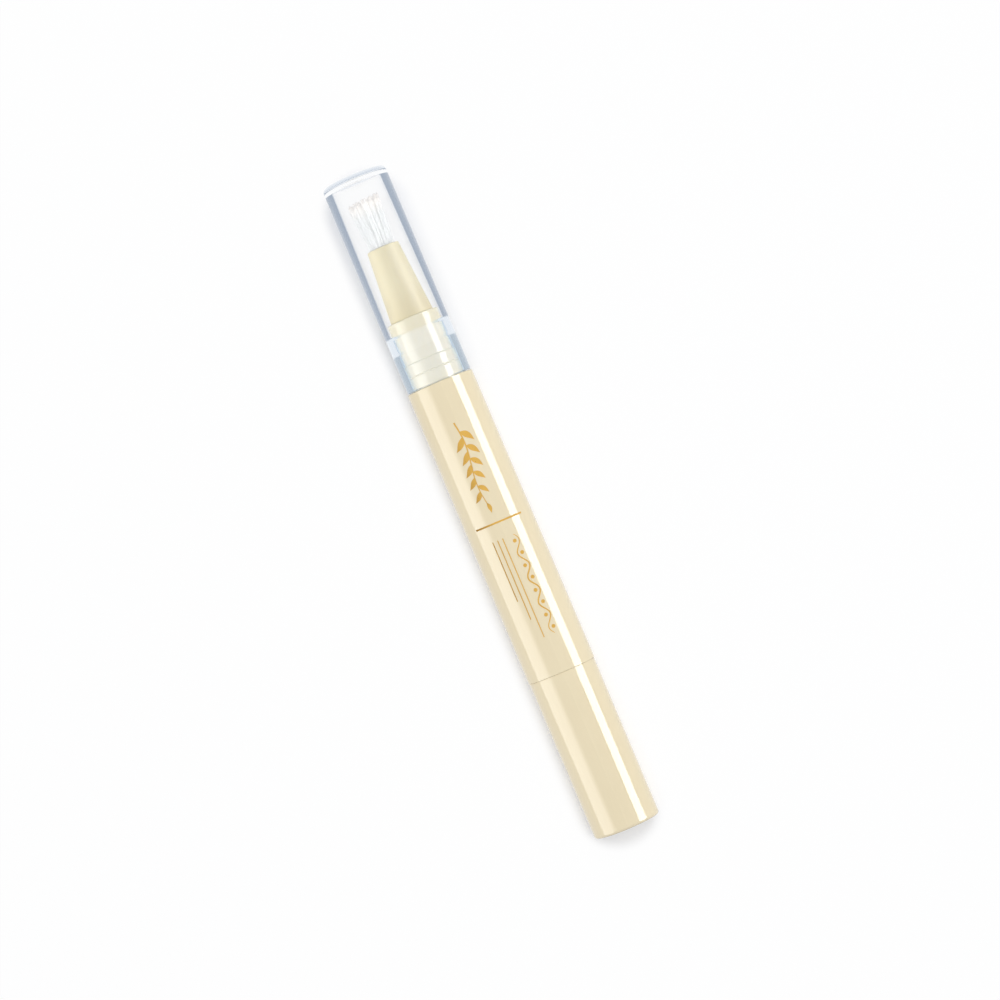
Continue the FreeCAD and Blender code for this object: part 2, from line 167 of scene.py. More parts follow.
@dataclass(frozen=True)
class PenAxis:
    """The pen's axis in the shared frame. Stations are millimetres from the knob's end towards the cap."""

    rear: float
    height: float

    @classmethod
    def from_frame(cls) -> "PenAxis":
        """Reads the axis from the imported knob's box."""
        low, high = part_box("knob")
        return cls(rear=low.x, height=(low.z + high.z) / 2)

    def x(self, station: float) -> float:
        """The frame's x of a station, in metres."""
        return self.rear + station * MM

    def point(self, station: float, radius: float, angle: float) -> Vector:
        """A point about the axis.

        Args:
            station: millimetres from the knob's end.
            radius: millimetres from the axis.
            angle: radians from the top, positive towards the key light's side.

        Returns:
            The point in the shared frame, in metres.
        """
        across = radius * MM
        return Vector((self.x(station), -across * math.sin(angle), self.height + across * math.cos(angle)))


@dataclass(frozen=True)
class Corner:
    """One corner of a turned outline, with the fillet that rounds it and the skin of the face after it."""

    station: float
    radius: float
    fillet: float = 0.0
    skin: int = 0


def round_corners(corners: list[Corner], steps: int) -> list[Corner]:
    """Replaces each corner that has a fillet by short chords of its arc.

    Args:
        corners: the outline in order, open at both ends.
        steps: chords in each arc.

    Returns:
        The outline with its arcs.
    """
    outline: list[Corner] = []
    for i, corner in enumerate(corners):
        if corner.fillet == 0.0:
            outline.append(corner)
            continue
        here = Vector((corner.station, corner.radius))
        back = (Vector((corners[i - 1].station, corners[i - 1].radius)) - here).normalized()
        ahead = (Vector((corners[i + 1].station, corners[i + 1].radius)) - here).normalized()
        half = back.angle(ahead) / 2
        centre = here + (back + ahead).normalized() * corner.fillet / math.sin(half)
        first = here + back * corner.fillet / math.tan(half) - centre
        last = here + ahead * corner.fillet / math.tan(half) - centre
        for k in range(steps + 1):
            spoke = first.slerp(last, k / steps).normalized() * corner.fillet
            outline.append(Corner(centre.x + spoke.x, centre.y + spoke.y, 0.0, corner.skin))
    return outline


def link(name: str, data: bpy.types.ID) -> Piece:
    """Makes an object of some data and links it to the scene.

    Args:
        name: the new object's name.
        data: its mesh, lamp or camera.

    Returns:
        The new object.
    """
    made = bpy.data.objects.new(name, data)
    bpy.context.scene.collection.objects.link(made)
    return made


def turned(name: str, axis: PenAxis, corners: list[Corner], segments: int) -> Piece:
    """Turns an outline about the pen's axis into one closed smooth mesh.

    Args:
        name: the new object's name.
        axis: the pen's axis.
        corners: the outline, from the axis to the axis.
        segments: faces round the axis.

    Returns:
        The new object, linked to the scene.
    """
    shell = bmesh.new()
    rings: list[list[bmesh.types.BMVert]] = []
    for corner in corners:
        angles = [math.tau * k / segments for k in range(segments if corner.radius > 0 else 1)]
        rings.append([shell.verts.new(axis.point(corner.station, corner.radius, angle)) for angle in angles])
    for corner, ring, following in zip(corners, rings, rings[1:]):
        for k in range(segments):
            after = (k + 1) % segments
            loop = [ring[k % len(ring)], ring[after % len(ring)]]
            loop += [following[after % len(following)], following[k % len(following)]]
            face = shell.faces.new(list(dict.fromkeys(loop)))
            face.material_index = corner.skin
            face.smooth = True
    bmesh.ops.recalc_face_normals(shell, faces=shell.faces)
    mesh = bpy.data.meshes.new(name)
    shell.to_mesh(mesh)
    shell.free()
    mesh.set_sharp_from_angle(angle=SHARP_ANGLE)
    return link(name, mesh)


@dataclass(frozen=True)
class Finish(ABC):
    """What every finish has: the name of the real material and its main colour."""

    name: str
    colour: str

    @abstractmethod
    def surface(self, tree: Tree) -> Node:
        """Adds the finish's shader and what feeds it to a tree."""

    def build(self) -> Material:
        """Makes the material.

        Returns:
            The finished material.
        """
        material = bpy.data.materials.new(self.name)
        material.use_nodes = True
        tree = material.node_tree
        tree.nodes.clear()
        add_node(tree, "OutputMaterial", {"Surface": self.surface(tree)})
        return material


@dataclass(frozen=True)
class Moulding(Finish):
    """A moulded plastic: even in colour, with faint flow clouds and the gloss of the mould's skin."""

    cloud: str = WHITE
    polish: Polish = Polish.TOOLED
    ior: float = 1.5
    cloud_mm: float = 9.0
    cloud_range: Span = (0.3, 0.7)
    grain_mm: float = 0.6
    grain_height_mm: float = 0.0006
    depth_mm: float = 0.0
    glow: float = 0.0
    glow_reach: tuple[float, float, float] = (1.0, 0.9, 0.7)

    def tone(self, tree: Tree, place: Socket, flow: Node) -> Node:
        """Adds the colour, with faint clouds where the plastic flowed."""
        return add_node(tree, "Mix", {0: flow, 6: self.colour, 7: self.cloud}, data_type="RGBA")

    def surface(self, tree: Tree) -> Node:
        """Adds the shader and what feeds it.

        Args:
            tree: the material's node tree.

        Returns:
            The shader.
        """
        place = add_node(tree, "TexCoord").outputs["Object"]
        clouds = {"Vector": place, "Scale": per_metre(self.cloud_mm), "Detail": 2.0, "Roughness": 0.4}
        flow = add_node(tree, "TexNoise", clouds)
        few, many = self.cloud_range
        low, high = self.polish.value
        gloss = {"Value": flow, "From Min": few, "From Max": many, "To Min": low, "To Max": high}
        fine = {"Vector": place, "Scale": per_metre(self.grain_mm), "Detail": 3.0}
        grain = add_node(tree, "TexNoise", fine)
        relief = {"Height": grain, "Distance": self.grain_height_mm * MM, "Strength": 1.0}
        return add_node(
            tree,
            "BsdfPrincipled",
            {
                "Base Color": self.tone(tree, place, flow),
                "Roughness": add_node(tree, "MapRange", gloss),
                "Normal": add_node(tree, "Bump", relief),
                "IOR": self.ior,
                "Subsurface Weight": self.glow,
                "Subsurface Radius": self.glow_reach,
                "Subsurface Scale": self.depth_mm * MM,
            },
        )


@dataclass(frozen=True)
class GradedMoulding(Moulding):
    """A moulding over other pieces, which takes another tone along its length from what backs it."""

    backed: str = WHITE
    backed_x: Span = (0.0, 1.0)

    def tone(self, tree: Tree, place: Socket, flow: Node) -> Node:
        """Adds the colour and shifts it along the piece.

        Args:
            tree: the material's node tree.
            place: where each point of the piece is.
            flow: the clouds.

        Returns:
            The node that gives the colour.
        """
        along = add_node(tree, "SeparateXYZ", {"Vector": place})
        low, high = self.backed_x
        share = add_node(tree, "MapRange", {"Value": along, "From Min": low, "From Max": high})
        plain = super().tone(tree, place, flow)
        return add_node(tree, "Mix", {0: share, 6: plain, 7: self.backed}, data_type="RGBA")


@dataclass(frozen=True)
class ClearMoulding(Finish):
    """Clear styrene: a hard polished skin that bends what is behind it and lets the lamps through."""

    shade: str = "#FDFEFF"
    ior: float = 1.57
    roughness: float = 0.01
    flow_mm: float = 14.0
    flow_height_mm: float = 0.0015

    def tint(self, tree: Tree) -> Node | str:
        """The colour of the light that the skin bends."""
        return self.colour

    def passed(self, tree: Tree, path: Node) -> Node | str:
        """The colour of the light that goes straight through the skin."""
        return self.shade

    def sideways(self, tree: Tree, band: Span) -> Node:
        """Adds what finds the parts of the skin that turn away.

        Args:
            tree: the material's node tree.
            band: how far they turn where it starts and where it is full.

        Returns:
            The node that gives their share.
        """
        turn = add_node(tree, "LayerWeight", {"Blend": 0.5}).outputs["Facing"]
        span = {"Value": turn, "From Min": band[0], "From Max": band[1]}
        return add_node(tree, "MapRange", span, interpolation_type="SMOOTHSTEP")

    def surface(self, tree: Tree) -> Node:
        """Adds the shaders. Light that turns back inside the wall leaves it, so that none is trapped.

        Args:
            tree: the material's node tree.

        Returns:
            The shader that joins them.
        """
        place = add_node(tree, "TexCoord").outputs["Object"]
        waves = {"Vector": place, "Scale": per_metre(self.flow_mm), "Detail": 1.0}
        flow = add_node(tree, "TexNoise", waves)
        relief = {"Height": flow, "Distance": self.flow_height_mm * MM, "Strength": 1.0}
        bent = add_node(
            tree,
            "BsdfPrincipled",
            {
                "Base Color": self.tint(tree),
                "Transmission Weight": 1.0,
                "IOR": self.ior,
                "Roughness": self.roughness,
                "Normal": add_node(tree, "Bump", relief),
            },
        )
        path = add_node(tree, "LightPath")
        passing = path.outputs["Is Shadow Ray"]
        for other in ("Is Diffuse Ray", "Is Reflection Ray"):
            passing = add_node(tree, "Math", {0: passing, 1: path.outputs[other]}, operation="MAXIMUM")
        clear = add_node(tree, "BsdfTransparent", {"Color": self.passed(tree, path)})
        return add_node(tree, "MixShader", {0: passing, 1: bent, 2: clear})


@dataclass(frozen=True)
class ClearWall(ClearMoulding):
    """Clear styrene on a tube's outside: painted blue-grey shade where light turns back inside the wall and
    comes out.
    """

    # edge is painted blue-grey shade for the light that leaves the wall's edges
    edge: str = "#9DAABB"
    edge_shade: str = "#76828F"
    edge_band: Span = (0.37, 0.43)
    skins_crossed: float = 1.5

    def passed(self, tree: Tree, path: Node) -> Node:
        """Adds what dims the lamps along the wall and paints blue-grey shade on the light that turns back.

        Args:
            tree: the material's node tree.
            path: the node that tells one kind of light from another.

        Returns:
            The node that gives the colour.
        """
        mirrored = path.outputs["Is Reflection Ray"]
        lamps = {0: self.sideways(tree, self.edge_band), 1: mirrored}
        lit = add_node(tree, "Math", lamps, operation="SUBTRACT", use_clamp=True)
        shades = {0: lit, 6: self.shade, 7: self.edge_shade}
        dim = add_node(tree, "Mix", shades, data_type="RGBA")
        # light that has gone in through one skin only, has turned back, and leaves through this skin gets the
        # painted shade
        once = {0: path.outputs["Transmission Depth"], 1: self.skins_crossed}
        back = add_node(tree, "Math", once, operation="LESS_THAN")
        leaving = add_node(tree, "NewGeometry").outputs["Backfacing"]
        for other in (mirrored, leaving):
            back = add_node(tree, "Math", {0: back, 1: other}, operation="MULTIPLY")
        return add_node(tree, "Mix", {0: back, 6: dim, 7: self.edge}, data_type="RGBA")


@dataclass(frozen=True)
class ClearCollar(ClearMoulding):
    """Clear styrene in the bore close round another piece: painted pale-blue shade where the eye looks along
    the gap.
    """

    # edge is painted pale-blue shade
    edge: str = "#C9DDEE"
    edge_band: Span = (0.13, 0.20)

    def tint(self, tree: Tree) -> Node:
        """Adds the painted pale-blue shade of the parts that turn away."""
        ends = {0: self.sideways(tree, self.edge_band), 6: self.colour, 7: self.edge}
        return add_node(tree, "Mix", ends, data_type="RGBA")


@dataclass(frozen=True)
class ClearCrown(ClearMoulding):
    """Clear styrene in a solid end: tinted where light goes in, and colourless where it comes out again."""

    leaving: str = WHITE

    def tint(self, tree: Tree) -> Node:
        """Adds one colour for light on its way in and one for light on its way out."""
        within = add_node(tree, "NewGeometry").outputs["Backfacing"]
        return add_node(tree, "Mix", {0: within, 6: self.colour, 7: self.leaving}, data_type="RGBA")


@dataclass(frozen=True)
class Filament(Finish):
    """Drawn nylon: white, a little see-through so that light comes through the tuft, warmer at the tips."""

    streak: str = "#F0F0EF"
    tip: str = "#FBF7F3"
    tip_x: Span = (0.0, 1.0)
    roughness: float = 0.3
    ior: float = 1.53
    through: float = 0.4
    clear: float = 0.3
    clear_to_lamps: float = 0.9
    streak_mm: float = 0.35
    streak_stretch: float = 0.06

    def surface(self, tree: Tree) -> Node:
        """Adds the shaders. Lamps reach deep into the tuft, as each filament passes most of their light.

        Args:
            tree: the material's node tree.

        Returns:
            The shader that joins them.
        """
        place = add_node(tree, "TexCoord").outputs["Object"]
        along = add_node(tree, "SeparateXYZ", {"Vector": place})
        low, high = self.tip_x
        near_tip = add_node(tree, "MapRange", {"Value": along, "From Min": low, "From Max": high})
        drawn = {"Vector": place, "Scale": (self.streak_stretch, 1.0, 1.0)}
        strands = add_node(tree, "Mapping", drawn)
        lines = {"Vector": strands, "Scale": per_metre(self.streak_mm), "Detail": 1.0}
        streaks = {0: add_node(tree, "TexNoise", lines), 6: self.streak, 7: self.colour}
        shaded = add_node(tree, "Mix", streaks, data_type="RGBA")
        tips = {0: near_tip, 6: shaded, 7: self.tip}
        tinted = add_node(tree, "Mix", tips, data_type="RGBA")
        skin = {"Base Color": tinted, "Roughness": self.roughness, "IOR": self.ior}
        front = add_node(tree, "BsdfPrincipled", skin)
        behind = add_node(tree, "BsdfTranslucent", {"Color": tinted})
        milky = add_node(tree, "MixShader", {0: self.through, 1: front, 2: behind})
        lamps = add_node(tree, "LightPath").outputs["Is Shadow Ray"]
        shares = {"Value": lamps, "To Min": self.clear, "To Max": self.clear_to_lamps}
        share = add_node(tree, "MapRange", shares)
        clear = add_node(tree, "BsdfTransparent")
        return add_node(tree, "MixShader", {0: share, 1: milky, 2: clear})


@dataclass(frozen=True)
class HotFoil(Finish):
    """Hot-stamped gold foil: a thin bright metal skin, with painted brown shade where it turns away from the
    key light.
    """

    shaded: str = "#8A6426"
    painted_shade_y: Span = (0.0, 1.0)
    metallic: float = 0.75
    roughness: Span = (0.24, 0.36)
    speck_mm: float = 0.25

    def surface(self, tree: Tree) -> Node:
        """Adds the shader and what feeds it.

        Args:
            tree: the material's node tree.

        Returns:
            The shader.
        """
        place = add_node(tree, "TexCoord").outputs["Object"]
        across = add_node(tree, "SeparateXYZ", {"Vector": place}).outputs["Y"]
        low, high = self.painted_shade_y
        away = add_node(tree, "MapRange", {"Value": across, "From Min": low, "From Max": high})
        # the brown is painted shade on the side of the barrel that turns away from the key light
        golds = {0: away, 6: self.colour, 7: self.shaded}
        fine = {"Vector": place, "Scale": per_metre(self.speck_mm), "Detail": 2.0}
        specks = add_node(tree, "TexNoise", fine)
        gloss = {"Value": specks, "To Min": self.roughness[0], "To Max": self.roughness[1]}
        return add_node(
            tree,
            "BsdfPrincipled",
            {
                "Base Color": add_node(tree, "Mix", golds, data_type="RGBA"),
                "Metallic": self.metallic,
                "Roughness": add_node(tree, "MapRange", gloss),
            },
        )


@dataclass(frozen=True)
class DrawnSteel(Finish):
    """Stainless tube, cold drawn: a grey metal with fine lines along its length."""

    roughness: Span = (0.18, 0.38)
    line_mm: float = 0.05
    line_stretch: float = 0.02

    def surface(self, tree: Tree) -> Node:
        """Adds the shader and what feeds it.

        Args:
            tree: the material's node tree.

        Returns:
            The shader.
        """
        place = add_node(tree, "TexCoord").outputs["Object"]
        drawn = add_node(tree, "Mapping", {"Vector": place, "Scale": (self.line_stretch, 1.0, 1.0)})
        fine = {"Vector": drawn, "Scale": per_metre(self.line_mm), "Detail": 2.0}
        lines = add_node(tree, "TexNoise", fine)
        gloss = {"Value": lines, "To Min": self.roughness[0], "To Max": self.roughness[1]}
        skin = add_node(tree, "MapRange", gloss)
        metal = {"Base Color": self.colour, "Metallic": 1.0, "Roughness": skin}
        return add_node(tree, "BsdfPrincipled", metal)


@dataclass(frozen=True)
class LitSilk(Finish):
    """Silk lit from behind: it shines by a share at each point, and what it doesn't light sees through it."""

    level: float = 1.0

    def surface(self, tree: Tree) -> Node:
        """Adds the light and the clear ground.

        Args:
            tree: the material's node tree.

        Returns:
            The shader that joins them.
        """
        share = add_node(tree, "Attribute", attribute_name="share").outputs["Fac"]
        level = add_node(tree, "Math", {0: share, 1: self.level}, operation="MULTIPLY")
        glow = add_node(tree, "Emission", {"Color": self.colour, "Strength": level})
        clear = add_node(tree, "BsdfTransparent", {"Color": WHITE})
        return add_node(tree, "AddShader", {0: clear, 1: glow})


@dataclass(frozen=True)
class SeamlessPaper(Finish):
    """White studio paper: matt with a faint tooth. Away from the pen it fades to the background's white."""

    line_x: Span = (-0.0670, 0.0640)
    fade_m: Span = (0.0070, 0.0102)
    lift: Span = (0.35, 0.95)
    lift_through: float = 0.98
    tooth_mm: float = 0.4
    tooth_height_mm: float = 0.005
    tooth_strength: float = 0.5

    def surface(self, tree: Tree) -> Node:
        """Adds the paper, and the plain white that takes its place away from the pen.

        Args:
            tree: the material's node tree.

        Returns:
            The shader that joins them.
        """
        place = add_node(tree, "TexCoord").outputs["Object"]
        fine = {"Vector": place, "Scale": per_metre(self.tooth_mm), "Detail": 2.0}
        tooth = add_node(tree, "TexNoise", fine)
        bumps = {"Height": tooth, "Distance": self.tooth_height_mm * MM, "Strength": self.tooth_strength}
        relief = add_node(tree, "Bump", bumps)
        matt = {"Base Color": self.colour, "Roughness": 1.0, "Specular IOR Level": 0.0, "Normal": relief}
        paper = add_node(tree, "BsdfPrincipled", matt)
        nearest = place
        for end, pick in zip(self.line_x, ("MAXIMUM", "MINIMUM")):
            nearest = add_node(tree, "VectorMath", {0: nearest, 1: (end, 0.0, 0.0)}, operation=pick)
        reach = add_node(tree, "VectorMath", {0: place, 1: nearest}, operation="DISTANCE")
        near, far = self.fade_m
        least, most = self.lift
        span = {"Value": reach, "From Min": near, "From Max": far, "To Min": least, "To Max": most}
        fade = add_node(tree, "MapRange", span, interpolation_type="SMOOTHSTEP")
        share = add_node(tree, "Math", {0: fade, 1: seen_as_background(tree)}, operation="MULTIPLY")
        bent = add_node(tree, "LightPath").outputs["Is Transmission Ray"]
        through = add_node(tree, "Math", {0: bent, 1: self.lift_through}, operation="MULTIPLY")
        white = add_node(tree, "Math", {0: share, 1: through}, operation="MAXIMUM")
        plain = add_node(tree, "Emission", {"Strength": 1.0})
        return add_node(tree, "MixShader", {0: white, 1: paper, 2: plain})


def seen_as_background(tree: Tree) -> Node:
    """Finds the rays that show the background: the camera's, and those that mirrors and clear pieces send on.

    Args:
        tree: the node tree that asks.

    Returns:
        A node that gives 1 for such a ray and 0 for the rays that light the object.
    """
    path = add_node(tree, "LightPath")
    seen = path.outputs["Is Camera Ray"]
    for other in ("Is Glossy Ray", "Is Transmission Ray"):
        seen = add_node(tree, "Math", {0: seen, 1: path.outputs[other]}, operation="MAXIMUM")
    return seen


def dress(frame: dict, nodes: list[str], material: Material) -> None:
    """Gives CAD nodes a finish.

    Args:
        nodes: the nodes' names.
        material: the finish.
    """
    for name in nodes:
        for place in frame["nodes"][name].material_slots:
            place.material = material
        LOG.info("dressed %s in %s", name, material.name)


@dataclass
class Sleeve:
    """The cream barrel and knob, with the foil stamped on the barrel's front. Sizes in millimetres."""

    axis: PenAxis
    rear_station: float = 34.1
    front_station: float = 97.3
    rear_radius: float = 7.21
    front_radius: float = 7.03
    foil_thickness: float = 0.02
    foil_sink: float = 0.01
    foil_painted_shade: Span = (0.15, 0.75)
    line_station: float = 66.8
    line_width: float = 0.36
    line_reach: float = math.radians(43)
    line_steps: int = 48
    sprig: Span = (70.5, 88.5)
    sprig_shift: float = -0.6
    stem_sway: float = 0.5
    stem_half: Span = (0.16, 0.08)
    stem_steps: int = 60
    leaf_length: float = 3.5
    leaf_width: float = 1.25
    leaf_bow: float = 0.25
    leaf_point: float = 0.03
    leaf_swell: Span = (0.8, 1.2)
    leaf_angle: float = math.radians(42)
    leaf_pairs: int = 5
    leaf_span: Span = (0.12, 0.78)
    leaf_stagger: float = 0.07
    leaf_fade: float = 0.35
    leaf_steps: int = 14
    end_leaf_angle: float = math.radians(4)
    end_leaf_size: float = 0.6
    end_leaf_back: int = 2
    wave: Span = (42.0, 63.4)
    wave_shift: float = 1.75
    wave_height: float = 0.72
    wave_width: float = 0.30
    wave_ends: float = 0.35
    wave_turns: int = 4
    wave_steps: int = 96
    bead_radius: float = 0.40
    bead_place: float = 0.35
    bead_point: float = 0.01
    bead_steps: int = 10
    rule_shifts: tuple[float, ...] = (-0.6, -1.7, -2.8)
    rule_shares: tuple[float, ...] = (1.0, 0.8, 0.6)
    rule_width: float = 0.2
    rule_steps: int = 24
    verts: list[Vector] = field(default_factory=list)
    faces: list[Face] = field(default_factory=list)

    def radius(self, station: float) -> float:
        """The barrel's outside radius at a station."""
        share = (station - self.rear_station) / (self.front_station - self.rear_station)
        return self.rear_radius + share * (self.front_radius - self.rear_radius)

    def lay(self, along: float, across: float, lift: float) -> Vector:
        """The frame's point for a station, a distance round from the top line, and a lift off the skin."""
        radius = self.radius(along)
        return self.axis.point(along, radius + lift, across / radius)

    def ribbon(self, centres: list[Vector], halves: list[float], columns: int = 4) -> None:
        """Adds one closed shape of foil that follows a line on the barrel.

        Args:
            centres: points along the line, as station and distance round the barrel.
            halves: half the shape's width at each point.
            columns: strips across the width.
        """
        last = len(centres) - 1
        base = len(self.verts)
        wide = columns + 1
        for i, (centre, half) in enumerate(zip(centres, halves)):
            run = (centres[min(i + 1, last)] - centres[max(i - 1, 0)]).normalized()
            side = Vector((-run.y, run.x))
            for k in range(wide):
                spot = centre + side * half * (2 * k / columns - 1)
                self.verts.append(self.lay(spot.x, spot.y, self.foil_thickness))
                self.verts.append(self.lay(spot.x, spot.y, -self.foil_sink))

        def quad(*spots: tuple[int, int, int]) -> None:
            """Adds one face by the row, the column and the side of each of its points."""
            self.faces.append(tuple(base + 2 * (row * wide + column) + under for row, column, under in spots))

        for i in range(last):
            for k in range(columns):
                quad((i, k, 0), (i, k + 1, 0), (i + 1, k + 1, 0), (i + 1, k, 0))
                quad((i, k, 1), (i + 1, k, 1), (i + 1, k + 1, 1), (i, k + 1, 1))
            for k in (0, columns):
                quad((i, k, 0), (i + 1, k, 0), (i + 1, k, 1), (i, k, 1))
        for i in (0, last):
            for k in range(columns):
                quad((i, k, 0), (i, k, 1), (i, k + 1, 1), (i, k + 1, 0))

    def stripe(self) -> None:
        """Adds the thin line across the barrel's front."""
        steps = self.line_steps
        reach = self.line_reach * self.radius(self.line_station)
        centres = [Vector((self.line_station, reach * (2 * k / steps - 1))) for k in range(steps + 1)]
        self.ribbon(centres, [self.line_width / 2] * (steps + 1))

    def leaf(self, root: Vector, angle: float, size: float) -> None:
        """Adds one pointed leaf.

        Args:
            root: where the leaf joins its stem.
            angle: radians from the barrel's length to the leaf.
            size: the leaf's length against the full one.
        """
        heading = Vector((math.cos(angle), math.sin(angle)))
        bow = Vector((-heading.y, heading.x)) * math.copysign(self.leaf_bow * size, -angle)
        centres = []
        halves = []
        for k in range(self.leaf_steps + 1):
            share = k / self.leaf_steps
            centres.append(root + heading * self.leaf_length * size * share + bow * math.sin(math.pi * share))
            swell = math.sin(math.pi * share ** self.leaf_swell[0]) ** self.leaf_swell[1]
            halves.append(self.leaf_point + self.leaf_width / 2 * size * swell)
        self.ribbon(centres, halves)

    def sprig_of_leaves(self) -> None:
        """Adds a plain sprig of leaves along the barrel, towards the knob."""
        steps = self.stem_steps
        end, start = self.sprig
        thick, thin = self.stem_half
        stem = []
        for k in range(steps + 1):
            share = k / steps
            sway = self.sprig_shift + self.stem_sway * math.sin(math.tau * share)
            stem.append(Vector((start + (end - start) * share, sway)))
        self.ribbon(stem, [thick - (thick - thin) * k / steps for k in range(steps + 1)], columns=2)
        first, spread = self.leaf_span
        for pair in range(self.leaf_pairs):
            place = first + spread * pair / self.leaf_pairs
            size = 1.0 - self.leaf_fade * place
            for side, shift in ((1, 0.0), (-1, self.leaf_stagger)):
                root = stem[round((place + shift) * steps)]
                self.leaf(root, math.pi - side * self.leaf_angle, size)
        self.leaf(stem[steps - self.end_leaf_back], math.pi - self.end_leaf_angle, self.end_leaf_size)

    def wave_with_beads(self) -> None:
        """Adds a plain wave along the barrel with a bead in each of its bays."""
        end, start = self.wave
        length = start - end
        centres = []
        halves = []
        for k in range(self.wave_steps + 1):
            share = k / self.wave_steps
            sway = self.wave_height * math.sin(math.tau * self.wave_turns * share)
            centres.append(Vector((start - length * share, self.wave_shift + sway)))
            swell = self.wave_ends + (1 - self.wave_ends) * math.sin(math.pi * share) ** 0.5
            halves.append(self.wave_width / 2 * swell)
        self.ribbon(centres, halves, columns=2)
        bays = 2 * self.wave_turns
        for bay in range(bays):
            side = -1 if bay % 2 == 0 else 1
            station = start - length * (bay + 0.5) / bays
            self.bead(Vector((station, self.wave_shift + side * self.wave_height * self.bead_place)))

    def rules(self) -> None:
        """Adds fine straight rules beside the wave, each shorter than the last."""
        steps = self.rule_steps
        end, start = self.wave
        for shift, share in zip(self.rule_shifts, self.rule_shares):
            length = (start - end) * share
            centres = [Vector((start - length * k / steps, shift)) for k in range(steps + 1)]
            self.ribbon(centres, [self.rule_width / 2] * (steps + 1), columns=2)

    def bead(self, centre: Vector) -> None:
        """Adds one round bead of foil.

        Args:
            centre: its station and its distance round the barrel.
        """
        angles = [math.pi * i / self.bead_steps for i in range(self.bead_steps + 1)]
        centres = [centre - Vector((self.bead_radius * math.cos(angle), 0.0)) for angle in angles]
        halves = [max(self.bead_point, self.bead_radius * math.sin(angle)) for angle in angles]
        self.ribbon(centres, halves, columns=2)

    def build(self, frame: dict) -> Piece:
        """Dresses the barrel and knob and stamps the foil.


        Returns:
            The foil's object.
        """
        # ABS moulded against mirror-polished steel: an even cream body under a hard, near-perfect gloss
        cream = Moulding(
            "polished_abs_cream", "#E0D1AE", cloud="#E4D6B4", polish=Polish.MIRROR, ior=1.54,
            cloud_mm=14.0, grain_mm=5.0, grain_height_mm=0.0012,
        )
        dress(frame, ["barrel", "knob"], cream.build())
        self.stripe()
        self.sprig_of_leaves()
        self.wave_with_beads()
        self.rules()
        mesh = bpy.data.meshes.new("foil_print")
        mesh.from_pydata(self.verts, [], self.faces)
        mesh.validate()
        # gold hot-stamping foil: bright and metallic, with painted brown shade on the side that turns away
        # from the light
        painted_shade_span = tuple(share * self.rear_radius * MM for share in self.foil_painted_shade)
        mesh.materials.append(HotFoil("hot_stamped_gold_foil", "#D9AC55", painted_shade_y=painted_shade_span).build())
        print_piece = link("foil_print", mesh)
        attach(print_piece, Body.BARREL.value)
        return print_piece


@dataclass
class ClearCap:
    """The clear pull-off cap: a thick tube with a bead inside and a rounded crown. Sizes in millimetres."""

    axis: PenAxis
    rim_station: float = 97.5
    top_station: float = 142.3
    radius: float = 6.85
    rim_bore: float = 5.62
    bead_start: float = 105.8
    bead_end: float = 108.5
    bead_radius: float = 5.50
    bore_wide: float = 5.80
    bore_narrow: float = 5.30
    ceiling_station: float = 141.2
    crown_round: float = 1.0
    cavity_round: float = 0.9
    rim_round: float = 0.2
    bead_slope: float = 0.6
    bead_round: float = 0.4
    segments: int = 192
    arc_steps: int = 10

    def outline(self) -> list[Corner]:
        """Draws the cap's wall, from the middle of its ceiling out through the rim to the middle of its top.

        Returns:
            The corners in order.
        """
        past_bead = self.bead_end + self.bead_slope
        before_bead = self.bead_start - self.bead_slope
        return [
            Corner(self.ceiling_station, 0.0, 0.0, Skin.BORE),
            Corner(self.ceiling_station, self.bore_narrow, self.cavity_round, Skin.BORE),
            Corner(past_bead, self.bore_wide, self.bead_round, Skin.COLLAR),
            Corner(self.bead_end, self.bead_radius, self.bead_round, Skin.COLLAR),
            Corner(self.bead_start, self.bead_radius, self.bead_round, Skin.COLLAR),
            Corner(before_bead, self.rim_bore, self.bead_round, Skin.COLLAR),
            Corner(self.rim_station, self.rim_bore, self.rim_round, Skin.COLLAR),
            Corner(self.rim_station, self.radius, self.rim_round, Skin.ROUND_NECK),
            Corner(self.bead_start, self.radius, 0.0, Skin.OVER_BEAD),
            Corner(self.bead_end, self.radius, 0.0, Skin.OUTSIDE),
            Corner(self.top_station, self.radius, self.crown_round, Skin.CROWN),
            Corner(self.top_station, 0.0, 0.0, Skin.CROWN),
        ]

    def build(self) -> Piece:
        """Turns and dresses the cap.

        Returns:
            The cap's object, which stands for the CAD cap.
        """
        outline = round_corners(self.outline(), self.arc_steps)
        cap = turned("cap_clear", self.axis, outline, self.segments)
        finishes = {
            # clear styrene moulding: glassy, colourless face on, with painted blue-grey shade along the edges
            # of its thick wall
            Skin.OUTSIDE: ClearWall("clear_styrene_outside", WHITE),
            # the same styrene on the core side of the mould: colourless, with only its gloss to see
            Skin.BORE: ClearMoulding("clear_styrene_bore", WHITE),
            # the solid crown, thick enough for the styrene's own faint blue to show
            Skin.CROWN: ClearCrown("clear_styrene_crown", "#D6DFE9"),
            # the wall over the bead, where the painted edge shade is much paler, a painted glint
            Skin.OVER_BEAD: ClearWall("clear_styrene_over_bead", WHITE, edge="#E3EBF3"),
            # the bore round the neck, with painted pale-blue shade where the eye looks along the gap beside
            # it
            Skin.COLLAR: ClearCollar("clear_styrene_collar", WHITE),
            # the wall outside the neck, with a paler painted edge shade
            Skin.ROUND_NECK: ClearWall("clear_styrene_round_neck", WHITE, edge="#ADBCC9"),
        }
        for skin in Skin:
            cap.data.materials.append(finishes[skin].build())
        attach(cap, Body.CAP.value)
        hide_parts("cap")
        return cap


